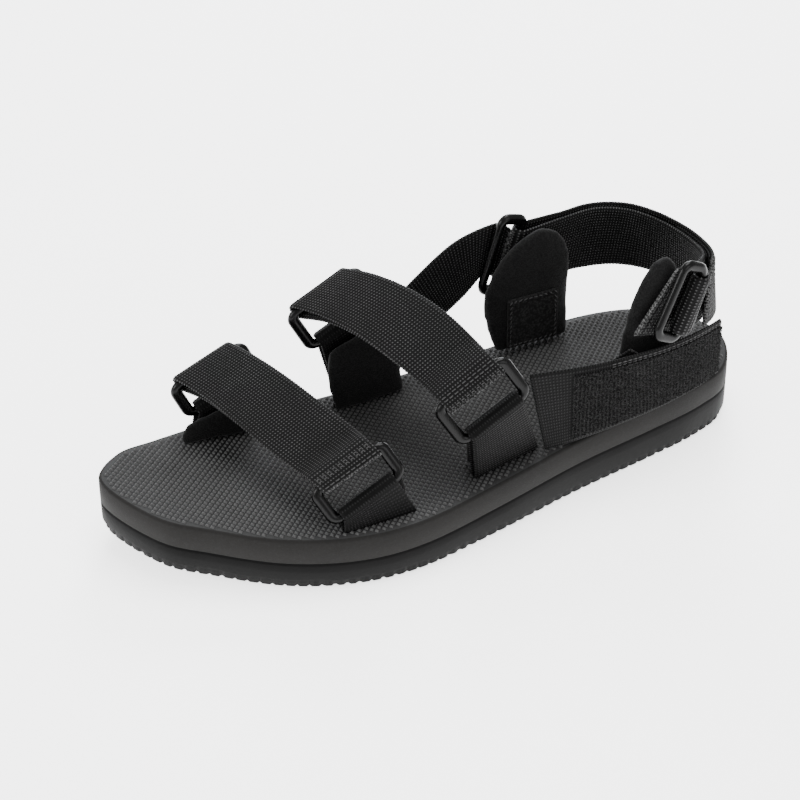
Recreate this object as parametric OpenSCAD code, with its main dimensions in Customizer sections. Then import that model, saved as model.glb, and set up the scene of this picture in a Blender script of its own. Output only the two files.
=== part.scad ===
// Strappy sport sandal, left foot: EVA sole, three webbing straps on plastic rings, neoprene pads.
// Toe towards -Y, heel towards +Y, outer side of the foot towards +X, ground at z = 0.

/* [Sole] */
// length of the sole from heel to toe
sole_len = 280; // [270:1:295]
// width of the sole across the ball of the foot
ball_w = 97; // [92:0.5:104]
// height of the sole top above the ground at the forefoot
fore_h = 24.3; // [23.6:0.1:25]
// height of the sole top above the ground at the heel
heel_h = 27.6; // [27:0.1:28.2]
// thickness of the footbed layer
footbed_t = 11.3; // [9:0.1:13]
// how far the toe tip curls up off the ground
toe_spring = 9.6; // [6:0.2:11]
// depth of the tread grooves
tread_d = 2.4; // [1:0.1:3.5]

/* [Webbing] */
// thickness of the nylon webbing
web_t = 1.8; // [1.4:0.1:2]
// width of the forefoot and instep webbing
web_w = 26; // [24:0.5:27]
// thickness of the hook patch and of the loop patch
fix_t = 0.8; // [0.5:0.1:0.9]
// height of the side band above the footbed
band_h = 33; // [28:0.5:36]

/* [Rings and pads] */
// diameter of the ring bars
bar_d = 3.8; // [3:0.1:4.2]
// distance between the two long bars of a ring
ring_gap = 18.2; // [16:0.2:20]
// thickness of the small neoprene pads
pad_t = 5; // [3.5:0.25:5.5]
// thickness of the tall ankle pads
ankle_pad_t = 6; // [4:0.25:6.5]

/* [Hidden] */
$fn = 24;

black = [0.07, 0.07, 0.075];
webbing_col = [0.10, 0.10, 0.11];
sole_col = [0.20, 0.20, 0.21];
rubber_col = [0.12, 0.12, 0.125];
kx = ball_w / 97;
ky = sole_len / 280;
bar_r = bar_d / 2;
fit = 0.4;
skin = 0.2;
slot_fit = 0.35;
near = 0.12;
wrap_r = bar_r + fit;
tail_t = 2;

// outline of the sole: distance from the heel, and the half width on the outer and the inner side
outline = [
    [0, -4.2], [9.8, 17.6], [28, 26.8], [56, 32.9], [92.4, 39.5], [131.6, 48.7], [168, 55.7], [196, 54.4],
    [224, 45.5], [249.2, 30.3], [267.4, 16.4], [280, -11.8], [267.4, -29.4], [249.2, -35.3], [224, -40],
    [196, -39.5], [168, -38.2], [131.6, -37.1], [92.4, -37.5], [56, -41.4], [28, -37.2], [9.8, -25.2]
];

function unit(v) = v / norm(v);
function mix(a, b, t) = a + (b - a) * t;
function smooth(t) = let (s = min(max(t, 0), 1)) s * s * (3 - 2 * s);
function cubic(a, b, c, d, t) =
    0.5 * (2 * b + (c - a) * t + (2 * a - 5 * b + 4 * c - d) * t * t + (3 * b - a - 3 * c + d) * t * t * t);
function spline(p, n) = [
    for (i = [0 : len(p) - 2], k = [0 : n - 1])
        cubic(p[max(i - 1, 0)], p[i], p[i + 1], p[min(i + 2, len(p) - 1)], k / n),
    p[len(p) - 1]
];
function loop_spline(p, n) = let (m = len(p)) [
    for (i = [0 : m - 1], k = [0 : n - 1])
        cubic(p[(i + m - 1) % m], p[i], p[(i + 1) % m], p[(i + 2) % m], k / n)
];
// place on the sandal, following the sole size
function at(x, y, z) = [x * kx, y * ky, z + mix(heel_h - 27.6, fore_h - 24.3, smooth((70 - y) / 126))];
function ats(list) = [for (p = list) at(p.x, p.y, p.z)];
// height of the sole bottom and top at a distance from the heel, as a share of the length
function bottom_z(s) = toe_spring * pow(max(s - 0.65, 0) / 0.35, 2);
function top_z(s) = mix(heel_h, fore_h, smooth((s - 0.25) / 0.45)) + bottom_z(s);
function bed_z(y) = top_z(0.5 - y / sole_len);

// points on an arc about c, from angle a0 to a1, with x along e1 and y along e2
function arc(c, e1, e2, r, a0, a1, n) = [
    for (k = [0 : n]) let (a = mix(a0, a1, k / n)) c + r * (cos(a) * e1 + sin(a) * e2)
];
function edge_normals(a, b) = [
    for (i = [0 : len(a) - 1])
        let (j = max(i - 1, 0), k = min(i + 1, len(a) - 1))
            unit(cross((a[k] + b[k] - a[j] - b[j]) / 2, b[i] - a[i]))
];

// a strip of cloth between two edge lines, from lo to hi above the surface that they span
module strip(a, b, lo, hi) {
    m = len(a);
    n = edge_normals(a, b);
    los = is_list(lo) ? lo : [for (i = [0 : m - 1]) lo];
    his = is_list(hi) ? hi : [for (i = [0 : m - 1]) hi];
    pts = [
        for (i = [0 : m - 1])
            each [a[i] + los[i] * n[i], b[i] + los[i] * n[i], b[i] + his[i] * n[i], a[i] + his[i] * n[i]]
    ];
    quads = [
        for (i = [0 : m - 2], k = [0 : 3])
            let (p = 4 * i + k, q = 4 * i + (k + 1) % 4)
                each [[p, q + 4, q], [p, p + 4, q + 4]]
    ];
    e = 4 * (m - 1);
    ends = [[0, 1, 2], [0, 2, 3], [e, e + 2, e + 1], [e, e + 3, e + 2]];
    polyhedron(pts, concat(ends, quads), convexity = 6);
}

// ring: r[0] is the middle of its first long bar, r[1] runs along that bar, r[2] reaches the second bar
ring_turn = 3;
bar_sides = 12;
corner_steps = 4;
module ring(r) {
    e1 = unit(r[1]);
    e2 = unit(r[2]);
    e3 = cross(e1, e2);
    mid = r[0] + r[2] / 2;
    hw = norm(r[1]) / 2 - ring_turn;
    hh = norm(r[2]) / 2 - ring_turn;
    corners = [[hw, -hh], [hw, hh], [-hw, hh], [-hw, -hh]];
    stations = 4 * (corner_steps + 1);
    pts = [
        for (c = [0 : 3], k = [0 : corner_steps])
            let (
                a = 90 * (c - 1 + k / corner_steps),
                out = cos(a) * e1 + sin(a) * e2,
                p = mid + corners[c].x * e1 + corners[c].y * e2 + ring_turn * out
            )
                each [
                    for (i = [0 : bar_sides - 1])
                        let (b = 360 * i / bar_sides) p + bar_r * (cos(b) * out + sin(b) * e3)
                ]
    ];
    faces = [
        for (k = [0 : stations - 1], i = [0 : bar_sides - 1])
            let (
                p = k * bar_sides + i,
                q = k * bar_sides + (i + 1) % bar_sides,
                next = ((k + 1) % stations - k) * bar_sides
            )
                each [[p, q, q + next], [p, q + next, p + next]]
    ];
    color(black) polyhedron(pts, faces, convexity = 6);
}
// a place along the first or second bar of ring r, j = 0 or 1, a distance s from the bar's middle
function on_bar(r, j, s) = r[0] + j * r[2] + s * unit(r[1]);

// lower face of each strap as a line along its two edges, from the inner ring to the outer side
fore_front = ats([[-37.4, -94.2, 46.6], [-24, -88.5, 48.2], [-8, -82.5, 46.6], [10, -76, 43.6],
    [26, -69.6, 40.6], [36.4, -65, 38]]);
fore_rear = ats([[-37.4, -69.6, 57], [-24, -65, 60.2], [-6, -58.8, 60.6], [12, -52, 58],
    [27, -45.4, 54], [36.6, -41.6, 50.2]]);
inst_front = ats([[-33.8, -43.2, 69.4], [-20, -35.6, 73.2], [-6, -28.4, 72.8], [9, -21.4, 69.2],
    [22, -14.8, 64.2], [31.8, -10, 58.8]]);
inst_rear = ats([[-33.8, -19.6, 81.2], [-20, -12, 86.4], [-5, -4, 86.6], [10, 3, 83.6],
    [22, 8, 78.6], [32, 12.8, 71.9]]);
heel_top = ats([[-34.6, 59.8, 82.8], [-34.6, 79, 84.6], [-33.9, 92, 85.6], [-28.5, 103.5, 85.2],
    [-19.5, 111, 84.2], [-8, 116.3, 83], [4, 117.6, 83.2], [14.5, 114.8, 86], [22.6, 109.2, 89.4],
    [27.6, 102, 92], [30.4, 93.5, 93.6]]);
heel_low = ats([[-34.6, 52, 57.2], [-34.6, 72, 57.4], [-34.4, 87, 57.2], [-31.5, 101, 56.6],
    [-23.5, 112.2, 55.6], [-11, 119.6, 54.6], [3, 121.8, 54.8], [17.4, 116, 57], [28.2, 100.4, 61.2],
    [31.2, 86.5, 65], [31.8, 74.5, 68]]);
band_low = ats([[37.4, 32.2, 28], [37.6, 44, 28.1], [36.6, 60, 28.2], [34.6, 75, 28.3], [32.4, 88, 28.3],
    [29.8, 100, 28.4], [26.2, 111.4, 28.4], [21.4, 121.6, 28.4]]);
band_top = ats([[35, 25.5, 65.6], [35, 45, 62.6], [35.6, 60, 61.4], [35.6, 72, 61.2], [34.4, 85, 60.4],
    [32, 98, 59.6], [28, 109.6, 58.4], [23, 120.6, 56.8]]);
seg = 5;
ff = spline(fore_front, seg);
fr = spline(fore_rear, seg);
jf = spline(inst_front, seg);
jr = spline(inst_rear, seg);
ht = spline(heel_top, seg);
hl = spline(heel_low, seg);
bl = spline(band_low, seg);
bt = spline(band_top, seg);

// a ring whose first bar lies d above the edge lines a and b at point k; way points to its second bar
function ring_at(a, b, k, d, len, way, gap) =
    let (
        n = edge_normals(a, b), p = a[k] + d * n[k], q = b[k] + d * n[k],
        w = unit(q - p), h = way - (way * w) * w
    )
    [(p + q) / 2, w * len, unit(h) * gap];
bar_d_in = web_t + wrap_r;
ankle_gap = 10.8;
fore_med = ring_at(ff, fr, 0, bar_d_in, web_w + 5, [2, 4, -13], ring_gap * 0.8);
fore_lat = ring_at(ff, fr, len(ff) - 1, bar_d_in, web_w + 5, [9, 7.4, -14], ring_gap * 0.8);
inst_med = ring_at(jf, jr, 0, bar_d_in, web_w + 5, [2, 8, -17], ring_gap);
inst_lat = ring_at(jf, jr, len(jf) - 1, bar_d_in, web_w + 5, [6, 9, -17], ring_gap);
keeper_k = len(ht) - 7;
keeper_d = bar_d_in + web_t + 0.7;
keeper_a = [for (k = [0 : len(ht) - 1]) mix(ht[k], hl[k], 0.1)];
keeper_b = [for (k = [0 : len(ht) - 1]) mix(ht[k], hl[k], 0.9)];
ankle_med = ring_at(ht, hl, 0, bar_d_in, 33, [0.8, -17, 5], ankle_gap);
ankle_lat = ring_at(keeper_a, keeper_b, keeper_k, keeper_d, 30, [2, -16, 3], ankle_gap);

// anchor: webbing that comes up out of the footbed, round the lower bar of ring r and back down
// p is the middle of its foot on the footbed, half its half length, side is 1 outer or -1 inner
function foot_pt(p, half, lean, side, s) = [p.x + lean * s, p.y + s * half, bed_z(p.y + s * half)];
module anchor(r, p, half, lean, side) {
    w = unit(r[1]);
    up = -unit(r[2]);
    out = side * unit(cross(w, up)) * (cross(w, up).x > 0 ? 1 : -1);
    reach = web_w / 2 - 0.4;
    path = [
        for (s = [-1, 1])
            let (f = foot_pt(p, half, lean, side, s), c = on_bar(r, 1, s * reach))
                concat(
                    [f + [side * skin, 0, -1], f + [side * skin, 0, 0.4]],
                    arc(c, out, up, wrap_r, 0, 180, 8),
                    [f + [-side * skin, 0, 0.4], f + [-side * skin, 0, -1]]
                )
    ];
    color(webbing_col)
        union() {
            if (side > 0) strip(path[1], path[0], 0, web_t);
            else strip(path[0], path[1], 0, web_t);
            anchor_tail(p, half, lean, side, 0);
        }
}
// the part of the webbing inside the sole: down a slot, then flat between the two layers
module anchor_tail(p, half, lean, side, grow) {
    spare = 0.1;
    thick = 2 * (web_t + skin + spare + grow);
    long = 2 * (half + spare + grow);
    reach = 18;
    z0 = max(bed_z(p.y - half), bed_z(p.y + half)) - footbed_t + 0.5;
    turn = atan2(-lean, half);
    translate([p.x, p.y, 0])
        rotate([0, 0, turn]) {
            translate([-thick / 2, -long / 2, z0])
                cube([thick, long, (grow > 0 ? 30 : bed_z(p.y) - z0 - 0.6)]);
            translate([side > 0 ? -reach - grow : -thick / 2, -long / 2, z0 - grow])
                cube([reach + thick / 2 + grow, long, tail_t + 2 * grow]);
        }
}

fore_lat_foot = [47 * kx, -45.5 * ky];
fore_med_foot = [-32.6 * kx, -79.5 * ky];
inst_lat_foot = [36.6 * kx, 15 * ky];
inst_med_foot = [-31.6 * kx, -14.5 * ky];
root_foot = [35.4 * kx, 47 * ky];

module feet(grow) {
    anchor_tail(fore_lat_foot, 15.5, -0.4, 1, grow);
    anchor_tail(fore_med_foot, 14, 0, -1, grow);
    anchor_tail(inst_lat_foot, 15.5, -3, 1, grow);
    anchor_tail(inst_med_foot, 14.5, 0, -1, grow);
    anchor_tail(root_foot, 9, -1.4, 1, grow);
}

module sole_outline() {
    polygon([for (p = loop_spline(outline, 5)) [p.y * kx, sole_len / 2 - p.x * ky]]);
}
// side view of a layer of the sole: top and bottom are heights at a share of the length
module side_slab(tops, bottoms) {
    m = len(tops) - 1;
    ys = [for (i = [0 : m]) sole_len / 2 + 1 - (sole_len + 2) * i / m];
    rotate([90, 0, 90])
        translate([0, 0, -80])
            linear_extrude(160)
                polygon(concat(
                    [for (i = [0 : m]) [ys[i], tops[i]]],
                    [for (i = [m : -1 : 0]) [ys[i], bottoms[i]]]
                ));
}
steps = 28;
share = [for (i = [0 : steps]) i / steps];
tops = [for (s = share) top_z(s)];
joins = [for (s = share) top_z(s) - footbed_t];
bottoms = [for (s = share) bottom_z(s)];

// tread: grooves across the bottom, half a step off the middle so that the sole stands on a lug there
groove_w = 5;
groove_step = 15.4;
module outsole() {
    color(rubber_col)
        difference() {
            intersection() {
                linear_extrude(60) sole_outline();
                side_slab(joins, bottoms);
            }
            for (i = [-9 : 8]) {
                y = (i + 0.5) * groove_step * ky;
                s = 0.5 - y / sole_len;
                translate([-70, y - groove_w / 2, bottom_z(s) - 5])
                    cube([140, groove_w, 5 + tread_d]);
            }
        }
}

module footbed() {
    color(sole_col)
        difference() {
            intersection() {
                linear_extrude(60) sole_outline();
                side_slab(tops, joins);
            }
            feet(slot_fit);
        }
}

module fore_anchor_lateral() { anchor(fore_lat, fore_lat_foot, 15.5, -0.4, 1); }
module fore_anchor_medial() { anchor(fore_med, fore_med_foot, 14, 0, -1); }
module instep_anchor_lateral() { anchor(inst_lat, inst_lat_foot, 15.5, -3, 1); }
module instep_anchor_medial() { anchor(inst_med, inst_med_foot, 14.5, 0, -1); }
module fore_ring_lateral() { ring(fore_lat); }
module fore_ring_medial() { ring(fore_med); }
module instep_ring_lateral() { ring(inst_lat); }
module instep_ring_medial() { ring(inst_med); }
module ankle_ring_medial() { ring(ankle_med); }
module ankle_ring_lateral() { ring(ankle_lat); }

// pad: a thick soft plate between a front edge line and a rear edge line, going up
module pad(front, rear, t, side) {
    color(black)
        if (side > 0) strip(spline(ats(rear), 4), spline(ats(front), 4), -t, 0);
        else strip(spline(ats(front), 4), spline(ats(rear), 4), -t, 0);
}
function bed(x, y) = [x, y, bed_z(y * ky) + near - at(0, y, 0).z];
module fore_pad_lateral() {
    pad([bed(41.6, -62), [41.8, -61, 26.8], [42, -60, 28.4]],
        [bed(41.6, -30), [41.9, -30, 33], [42, -31.5, 39]], pad_t, 1);
}
module fore_pad_medial() {
    pad([bed(-29.6, -100.5), [-30.4, -100.5, 31], [-30.9, -97.5, 36.5]],
        [bed(-29.6, -65), [-30.4, -65.5, 37], [-30.9, -68, 43]], pad_t, -1);
}
module instep_pad_lateral() {
    pad([bed(35, 0), [34.9, -1, 35], [33.8, -1, 42.5]],
        [bed(30.2, 31), [31.6, 29, 45], [32.2, 26, 57]], pad_t, 1);
}
module instep_pad_medial() {
    pad([bed(-28.8, -33.5), [-28, -37, 43], [-27.2, -35.5, 56.5]],
        [bed(-28.8, 0), [-28, -3, 52], [-27.2, -7, 67]], pad_t, -1);
}

// heights of the layers above the lower face of a strap: loop patch, hook patch, flap
loop_lo = web_t + near;
hook_lo = loop_lo + fix_t + fit;
flap_lo = hook_lo + fix_t + near;
fold_hi = 2 * wrap_r + web_t;
settle = 6;
peel = 2;
lift_points = 80;
flap_lift = [for (k = [0 : lift_points]) mix(fold_hi, flap_lo, smooth(k / settle))];
// a cross flap rises again at its end, over the turn round the outer ring
// and hangs a little past it
rise_from = 20;
rise_span = 3.5;
overhang = 2.6;
flap_end = 27;
droop = [for (k = [0 : lift_points]) k == flap_end ? 0.9 : k == flap_end - 1 ? 0.2 : 0];
function hung(e) = let (m = len(e) - 1, t = overhang * unit(e[m] - e[m - 1])) concat(e, [e[m] + t, e[m] + 2 * t]);
top_lo = fold_hi + web_t + fit;
cross_lift = [
    for (k = [0 : lift_points])
        flap_lift[k] + (top_lo - flap_lo) * smooth((k - rise_from) / rise_span) - droop[k]
];

// the turn of webbing round a ring bar that lies d above point k of the lines: e is one of them,
// s = -1 at the start of the strap and 1 at its end, up = 0 from below to the top and 1 back down
function turn(a, b, e, k, s, d, up) =
    let (
        n = edge_normals(a, b)[k], j = s > 0 ? k : k + 1,
        t = s * unit(a[j] + b[j] - a[j - 1] - b[j - 1])
    )
    arc(e[k] + d * n, -n, t, wrap_r, up * 180, 180 - up * 180, 8);
// line e lifted by the list lift, from point i to j
function raise(a, b, e, i, j, lift) =
    let (n = edge_normals(a, b))
        [for (k = [i : (j > i ? 1 : -1) : j]) e[k] + (is_list(lift) ? lift[k] : lift) * n[k]];
function part(list, i, j) = [for (k = [i : j]) list[k]];
// a line list from point i to j that starts a small gap past i
function past(list, i, j) = concat([mix(list[i], list[i + 1], 0.15)], part(list, i + 1, j));

// a whole strap as one line, on its side towards the rings: lower layer, turn round the inner ring,
// root of the flap as far as point k, starting at point from
function base_line(a, b, e, from, k) = concat(
    raise(a, b, e, from, 1, web_t),
    turn(a, b, e, 0, -1, bar_d_in, 0),
    raise(a, b, e, 1, k, flap_lift)
);
module flap(a, b, i, j) {
    lift = [for (k = [i : j]) cross_lift[k]];
    color(webbing_col)
        strip(past(a, i, j), past(b, i, j), lift, [for (v = lift) v + web_t]);
}
module patch(a, b, i, j, lo) {
    n = edge_normals(a, b);
    color(black)
        strip([for (k = [i : j]) mix(a[k], b[k], 0.04) + lo * n[k]],
            [for (k = [i : j]) mix(b[k], a[k], 0.04) + lo * n[k]], 0, fix_t);
}
// a cross strap also turns round the outer ring and comes back on itself, where it is sewn
function cross_line(a, b, e) =
    let (
        m = len(a) - 1,
        back = [for (k = [0 : m]) mix(loop_lo, fold_hi, k == m - 1 ? 0.8 : k == m - 2 ? 0.1 : 0)]
    )
        concat(
            raise(a, b, e, m - 5, m - 1, back),
            turn(a, b, e, m, 1, bar_d_in, 1),
            base_line(a, b, e, m - 1, peel)
        );
module cross_strap(a, b) {
    color(webbing_col)
        strip(cross_line(a, b, a), cross_line(a, b, b), 0, web_t);
}

module fore_strap() { cross_strap(ff, fr); }
module fore_flap() { flap(hung(ff), hung(fr), peel, flap_end); }
module fore_hook() { patch(ff, fr, 12, 19, hook_lo); }
module fore_loop() { patch(ff, fr, 7, 19, loop_lo); }
module instep_strap() { cross_strap(jf, jr); }
module instep_flap() { flap(hung(jf), hung(jr), peel, flap_end); }
module instep_hook() { patch(jf, jr, 12, 19, hook_lo); }
module instep_loop() { patch(jf, jr, 7, 19, loop_lo); }

// heel strap: from the inner ankle ring round the back of the heel to the outer ankle pad
heel_peel = 14;
heel_end = 38;
module heel_strap() {
    color(webbing_col)
        strip(base_line(ht, hl, ht, len(ht) - 1, heel_peel),
            base_line(ht, hl, hl, len(ht) - 1, heel_peel), 0, web_t);
}
module heel_flap() {
    color(webbing_col)
        strip(past(ht, heel_peel, heel_end), past(hl, heel_peel, heel_end), flap_lo, flap_lo + web_t);
}
module heel_hook() { patch(ht, hl, 24, 36, hook_lo); }
module heel_loop() { patch(ht, hl, 8, 36, loop_lo); }

// ring keeper: webbing sewn on the heel strap, round the rear bar of the outer ankle ring and back
function keeper_line(e) =
    let (
        k = keeper_k,
        lo = keeper_d - wrap_r,
        hi = keeper_d + wrap_r,
        rise = [lo + 0.3, lo + 1.2, hi - 0.6]
    )
        concat(
            [for (i = [0 : 2]) raise(keeper_a, keeper_b, e, k - 3 + i, k - 3 + i, rise[i])[0]],
            turn(keeper_a, keeper_b, e, k, 1, keeper_d, 1),
            raise(keeper_a, keeper_b, e, k - 1, k - 3, lo)
        );
module ring_keeper() {
    color(webbing_col)
        strip(keeper_line(keeper_a), keeper_line(keeper_b), 0, web_t);
}

// stay: webbing from the instep up to the ankle, sewn to the ankle pad
module stay_medial() {
    up = [[-34.2, -26, 27.5], [-37.6, -17, 43], [-39.2, -4, 56.5], [-40.6, 9, 67], [-41, 29, 81],
        [-41.1, 48.5, 85.5], [-39, 52.4, 84.4], [-36.4, 53.4, 83.6]];
    low = [[-34.2, 0, 27.8], [-37.8, 6, 33], [-39.4, 14, 38.5], [-40.6, 22.5, 45], [-41, 35, 54],
        [-41.1, 43.4, 61.6], [-39, 46.4, 61], [-36.4, 46.6, 60.4]];
    color(webbing_col) strip(spline(ats(up), 3), spline(ats(low), 3), 0, web_t);
}
module stay_lateral() {
    low = [[33.2, 55, 27.6], [31.8, 64, 31], [30.8, 74, 36], [30.2, 84, 41], [30, 92, 45]];
    up = [[33.2, 39, 27.4], [32.2, 44, 41], [31.6, 53, 51], [31, 64, 57], [30.4, 74, 60.5]];
    color(webbing_col) strip(spline(ats(low), 3), spline(ats(up), 3), 0, web_t);
}

// tall pads that stand on the footbed on both sides of the ankle
module ankle_pad_medial() {
    front = [[-34, 43.6, 28], [-34.2, 38.6, 44], [-34.2, 37.4, 56],
        [-34.2, 43.4, 71], [-34.2, 53, 80.8], [-34.2, 61.6, 85]];
    rear = [[-34, 79, 28], [-34.2, 80, 44], [-34.2, 80.6, 57],
        [-34.2, 79.4, 71], [-34.2, 75, 80.4], [-34.2, 68.6, 85]];
    pad(front, rear, ankle_pad_t, -1);
}
module ankle_pad_lateral() {
    front = [[29.4, 69, 28], [29.4, 70, 46], [29.2, 72.4, 62],
        [29, 76, 77], [28.6, 81.5, 89], [28.2, 88, 96]];
    rear = [[24.6, 104, 28], [24.4, 105, 46], [24.6, 104.6, 62],
        [25, 103, 77], [25.6, 100, 89], [26.4, 95, 96]];
    pad(front, rear, ankle_pad_t, 1);
}
// square patch sewn on the inner face of the inner ankle pad
module ankle_patch() {
    x = -34 + ankle_pad_t + near;
    color(black)
        translate(at(x, 48, 31))
            cube([1.2, 24, 25]);
}

// side band: root in the footbed behind the instep, then a free band along the outer side to the heel
band_peel = 7;
module band_root() {
    color(webbing_col)
        union() {
            anchor_tail(root_foot, 9, -1.4, 1, 0);
            translate(at(35.7, 39.5, 26.2)) cube([1.5, 9, 4]);
            translate(at(36.4, 39.5, 28.2)) cube([1.5, 9, 3]);
            strip(part(bl, 0, band_peel), part(bt, 0, band_peel), 0, web_t);
        }
}
module side_band() {
    color(webbing_col)
        strip(past(bl, band_peel, len(bl) - 1), past(bt, band_peel, len(bt) - 1), 0, web_t);
}
module band_pile() {
    patch(bl, bt, band_peel + 2, len(bl) - 2, web_t + near);
}

outsole();
footbed();
fore_anchor_lateral();
fore_anchor_medial();
fore_ring_lateral();
fore_ring_medial();
fore_pad_lateral();
fore_pad_medial();
fore_strap();
fore_flap();
fore_hook();
fore_loop();
instep_anchor_lateral();
instep_anchor_medial();
instep_ring_lateral();
instep_ring_medial();
instep_pad_lateral();
instep_pad_medial();
instep_strap();
instep_flap();
instep_hook();
instep_loop();
stay_medial();
stay_lateral();
ankle_pad_medial();
ankle_pad_lateral();
ankle_patch();
ankle_ring_medial();
ankle_ring_lateral();
ring_keeper();
heel_strap();
heel_flap();
heel_hook();
heel_loop();
band_root();
side_band();
band_pile();
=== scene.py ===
import math

import bmesh
import bpy
import numpy as np
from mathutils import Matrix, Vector
from mathutils.geometry import delaunay_2d_cdt


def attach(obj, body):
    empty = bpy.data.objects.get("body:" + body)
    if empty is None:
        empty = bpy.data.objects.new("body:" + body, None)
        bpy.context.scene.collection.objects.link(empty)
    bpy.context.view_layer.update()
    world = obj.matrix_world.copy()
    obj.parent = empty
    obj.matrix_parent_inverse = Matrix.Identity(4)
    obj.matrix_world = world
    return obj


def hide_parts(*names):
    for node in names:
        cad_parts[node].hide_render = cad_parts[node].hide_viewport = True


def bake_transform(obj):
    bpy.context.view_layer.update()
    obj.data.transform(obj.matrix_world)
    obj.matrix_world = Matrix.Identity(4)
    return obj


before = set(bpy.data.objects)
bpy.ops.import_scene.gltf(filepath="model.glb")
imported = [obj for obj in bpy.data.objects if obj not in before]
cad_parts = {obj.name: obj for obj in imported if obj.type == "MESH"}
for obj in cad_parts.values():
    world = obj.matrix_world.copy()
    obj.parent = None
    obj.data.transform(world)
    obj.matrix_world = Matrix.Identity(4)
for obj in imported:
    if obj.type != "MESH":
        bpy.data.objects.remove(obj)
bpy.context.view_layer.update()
scene = bpy.context.scene
MM = 0.001


# ---------------------------------------------------------------- camera, lights, floor

def look(obj, away):
    obj.rotation_mode = "QUATERNION"
    obj.rotation_quaternion = away.to_track_quat("Z", "Y")


def put(obj):
    scene.collection.objects.link(obj)
    return obj


azimuth, elevation = math.radians(64.55), math.radians(37.25)
back = Vector((math.sin(azimuth) * math.cos(elevation), -math.cos(azimuth) * math.cos(elevation),
               math.sin(elevation)))
camera = put(bpy.data.objects.new("camera", bpy.data.cameras.new("camera")))
camera.location = Vector((0, 0, 0.020)) + back * 1.0
look(camera, back)
camera.data.lens = 108.54
camera.data.sensor_width = 36
camera.data.shift_x = -0.0408
camera.data.shift_y = 0.0423
camera.data.clip_start = 0.01
scene.camera = camera


def lamp(name, place, size, power, aim=(0, 0, 0.03), tint=(1, 1, 1)):
    light = put(bpy.data.objects.new(name, bpy.data.lights.new(name, "AREA")))
    light.location = place
    light.data.shape = "DISK"
    light.data.size = size
    light.data.energy = power
    light.data.color = tint
    look(light, Vector(place) - Vector(aim))


lamp("top_light", (-0.15, 0.15, 1.25), 0.9, 19)
lamp("back_light", (-0.95, 0.55, 0.75), 0.6, 17, tint=(0.94, 0.96, 1))
lamp("toe_light", (0.0, -1.15, 0.65), 0.6, 10)
lamp("side_light", (1.2, 0.35, 0.75), 0.8, 5)
world = bpy.data.worlds.new("studio")
world.use_nodes = True
world.node_tree.nodes["Background"].inputs["Color"].default_value = (1, 1, 1, 1)
world.node_tree.nodes["Background"].inputs["Strength"].default_value = 0.95
scene.world = world


# ---------------------------------------------------------------- node graphs

class Wire:
    """A socket that can be added, subtracted, multiplied, divided and raised to a power like a number."""

    def __init__(self, graph, socket):
        self.graph = graph
        self.socket = socket


def arithmetic(operation, swapped):
    def run(self, other):
        pair = [other, self] if swapped else [self, other]
        return self.graph.node(self.graph.math, {"operation": operation}, pair)
    return run


for symbol, operation in {"add": "ADD", "sub": "SUBTRACT", "mul": "MULTIPLY", "truediv": "DIVIDE",
                          "pow": "POWER"}.items():
    setattr(Wire, f"__{symbol}__", arithmetic(operation, False))
    setattr(Wire, f"__r{symbol}__", arithmetic(operation, True))


class Graph:
    """Nodes of one material or one geometry tree."""

    math = "ShaderNodeMath"

    def __init__(self, tree):
        self.tree = tree

    def node(self, kind, settings=None, inputs=(), out=0):
        made = self.tree.nodes.new(kind)
        for key, value in (settings or {}).items():
            setattr(made, key, value)
        pairs = inputs.items() if isinstance(inputs, dict) else enumerate(inputs)
        for key, value in pairs:
            if isinstance(value, Wire):
                self.tree.links.new(value.socket, made.inputs[key])
            elif value is not None:
                made.inputs[key].default_value = value
        return Wire(self, made.outputs[out])

    def cosine(self, value):
        return self.node(self.math, {"operation": "COSINE"}, [value])

    def ramp(self, value, low, high, start=0.0, end=1.0):
        return self.node("ShaderNodeMapRange", {"interpolation_type": "SMOOTHSTEP"},
                         [value, low, high, start, end])

    def mix(self, factor, first, second):
        return self.node("ShaderNodeMix", {"data_type": "RGBA"}, {0: factor, 6: first, 7: second}, 2)

    def place(self):
        return self.node("ShaderNodeTexCoord", out=3)

    def along(self):
        """Both directions of the weave, in thread pairs."""
        uv = self.node("ShaderNodeTexCoord", out=2)
        return [self.node("ShaderNodeSeparateXYZ", None, [uv], k) for k in (0, 1)]

    def noise(self, scale, detail=3.0, at=None):
        return self.node("ShaderNodeTexNoise", None,
                         {"Vector": at or self.place(), "Scale": scale, "Detail": detail})

    def cells(self, scale):
        return self.node("ShaderNodeTexVoronoi", None, {"Vector": self.place(), "Scale": scale})

    def named(self, name):
        return self.node("ShaderNodeAttribute", {"attribute_name": name}, out=2)


def rgb(*shade):
    return (*shade, 1.0) if len(shade) == 3 else (shade[0], shade[0], shade[0], 1.0)


def finish(name, paint, display, **fixed):
    """A material: paint(graph) gives its colour, roughness, height and how deep the height is."""
    material = bpy.data.materials.new(name)
    material.use_nodes = True
    material.diffuse_color = rgb(*display)
    graph = Graph(material.node_tree)
    shader = material.node_tree.nodes["Principled BSDF"]
    colour, rough, height, depth = paint(graph)
    bump = graph.node("ShaderNodeBump", None, {"Strength": 1.0, "Distance": depth * MM, "Height": height})
    links = material.node_tree.links
    links.new(colour.socket, shader.inputs["Base Color"])
    links.new(rough.socket, shader.inputs["Roughness"])
    links.new(bump.socket, shader.inputs["Normal"])
    for key, value in fixed.items():
        shader.inputs[key.replace("_", " ")].default_value = value
    return material


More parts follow.
